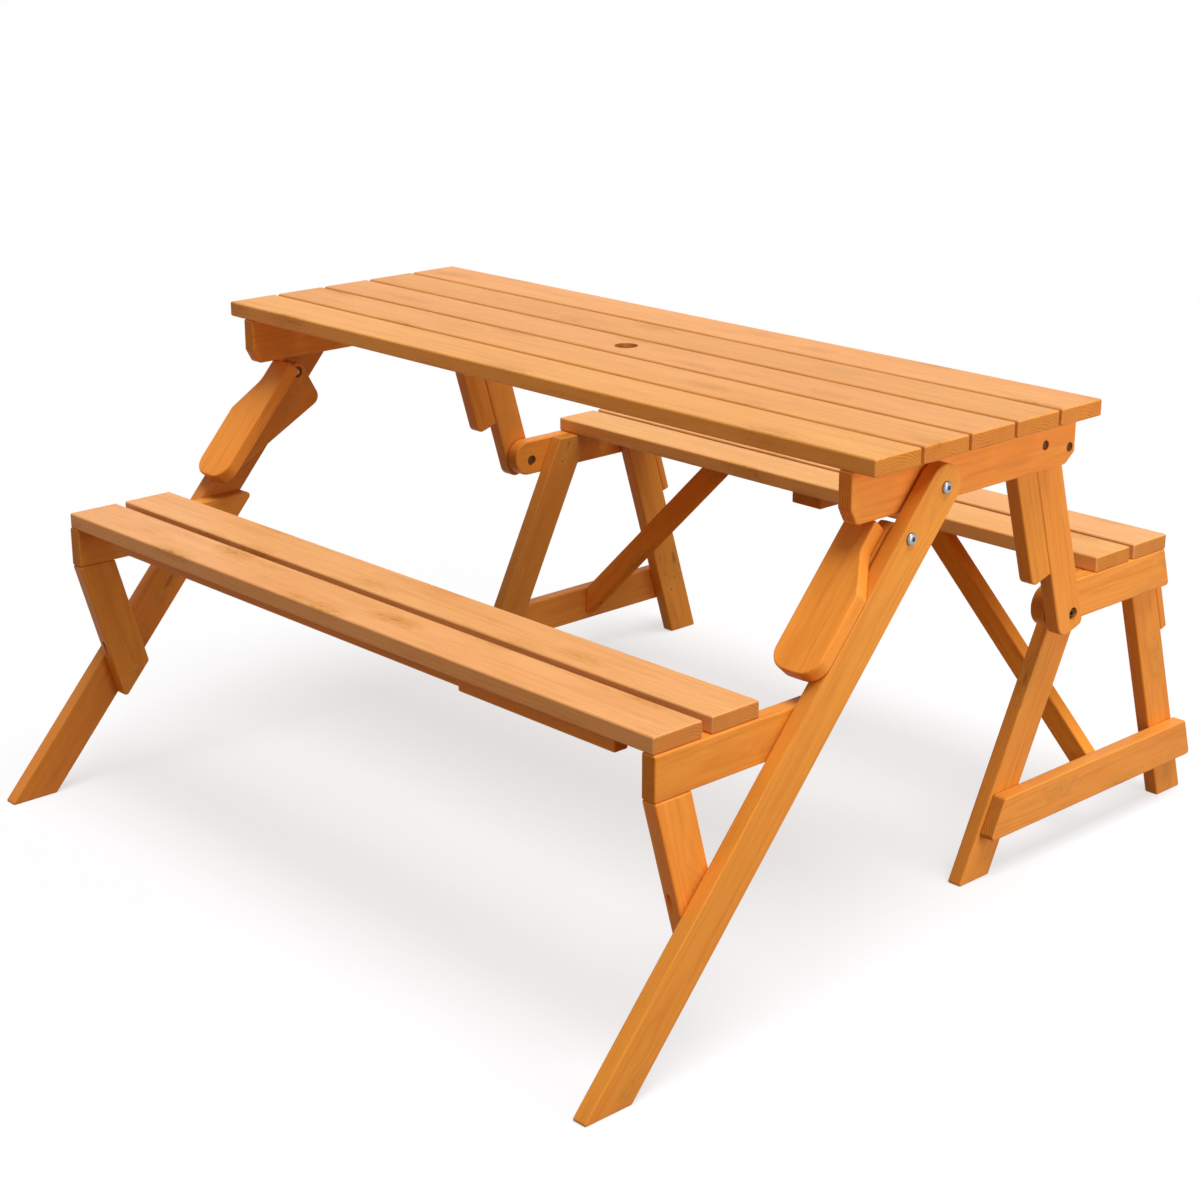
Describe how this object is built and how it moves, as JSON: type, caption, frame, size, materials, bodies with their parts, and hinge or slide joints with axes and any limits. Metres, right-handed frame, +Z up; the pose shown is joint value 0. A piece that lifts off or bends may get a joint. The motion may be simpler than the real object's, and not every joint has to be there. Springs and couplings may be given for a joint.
{
  "type": "convertible picnic table bench",
  "caption": "Slatted wooden picnic table with a bench on each side; the top folds over on two link arms and becomes the back of one garden bench with armrests.",
  "frame": {"origin": "on the floor, midway between the table's ends and midway between the outermost feet", "axes": "+X along the table, +Y from the front seat to the rear bench, +Z up"},
  "size_m": [1.39, 1.4343, 0.748],
  "materials": {
    "stained_softwood": "satin stain, honey orange",
    "zinc_steel": "zinc plated"
  },
  "bodies": {
    "rear_bench": {"fold_pivot_bolts": "zinc_steel", "fold_pivot_nuts": "zinc_steel", "fold_pivot_washers": "zinc_steel", "foot_stretcher_left": "stained_softwood", "foot_stretcher_right": "stained_softwood", "rear_back_leg_left": "stained_softwood", "rear_back_leg_right": "stained_softwood", "rear_brace_left": "stained_softwood", "rear_brace_right": "stained_softwood", "rear_brace_screws": "zinc_steel", "rear_centre_batten": "stained_softwood", "rear_frame_screws": "zinc_steel", "rear_front_leg_left": "stained_softwood", "rear_front_leg_right": "stained_softwood", "rear_leg_block_left": "stained_softwood", "rear_leg_block_right": "stained_softwood", "rear_seat_rail_left": "stained_softwood", "rear_seat_rail_right": "stained_softwood", "rear_seat_slat_back": "stained_softwood", "rear_seat_slat_front": "stained_softwood", "rear_slat_screws": "zinc_steel"},
    "tabletop": {"link_arm_bolts": "zinc_steel", "link_arm_left": "stained_softwood", "link_arm_nuts": "zinc_steel", "link_arm_right": "stained_softwood", "link_spacer_left": "stained_softwood", "link_spacer_right": "stained_softwood", "stop_block_left": "stained_softwood", "stop_block_right": "stained_softwood", "top_rail_left": "stained_softwood", "top_rail_right": "stained_softwood", "top_slat_1": "stained_softwood", "top_slat_2": "stained_softwood", "top_slat_3": "stained_softwood", "top_slat_4": "stained_softwood", "top_slat_5": "stained_softwood", "top_slat_dowels": "stained_softwood", "top_slat_screws": "zinc_steel"},
    "front_seat": {"armrest_pivot_bolts": "zinc_steel", "front_frame_screws": "zinc_steel", "front_seat_brace_left": "stained_softwood", "front_seat_brace_right": "stained_softwood", "front_seat_rail_left": "stained_softwood", "front_seat_rail_right": "stained_softwood", "front_seat_slat_back": "stained_softwood", "front_seat_slat_front": "stained_softwood", "front_seat_stretcher_long": "stained_softwood", "front_seat_stretcher_short": "stained_softwood", "front_slat_screws": "zinc_steel", "leg_pivot_bolts": "zinc_steel", "long_leg_left": "stained_softwood", "long_leg_nuts": "zinc_steel", "long_leg_right": "stained_softwood", "long_leg_washers": "zinc_steel"},
    "armrest_left": {"armrest_board_left": "stained_softwood", "armrest_bracket_left": "stained_softwood", "armrest_screws_left": "zinc_steel"},
    "armrest_right": {"armrest_board_right": "stained_softwood", "armrest_bracket_right": "stained_softwood", "armrest_screws_right": "zinc_steel"}
  },
  "joints": [
    {"name": "fold", "type": "hinge", "parent": "rear_bench", "child": "tabletop", "pos_m": [0, 0.3173, 0.4015], "axis": [1, 0, 0], "range_deg": [-109.2, 0]},
    {"name": "leg_pivot", "type": "hinge", "parent": "tabletop", "child": "front_seat", "pos_m": [0, -0.07744, 0.6814], "axis": [1, 0, 0], "range_deg": [0, 109.2]},
    {"name": "armrest_left_pivot", "type": "hinge", "parent": "front_seat", "child": "armrest_left", "pos_m": [0, -0.14521, 0.6257], "axis": [1, 0, 0], "range_deg": [-48.6, 0]},
    {"name": "armrest_right_pivot", "type": "hinge", "parent": "front_seat", "child": "armrest_right", "pos_m": [0, -0.14521, 0.6257], "axis": [1, 0, 0], "range_deg": [-48.6, 0]}
  ],
  "couplings": [
    {"joint": "leg_pivot", "follows": "fold", "ratio": -1},
    {"joint": "armrest_left_pivot", "follows": "fold", "ratio": 0.445},
    {"joint": "armrest_right_pivot", "follows": "fold", "ratio": 0.445}
  ]
}
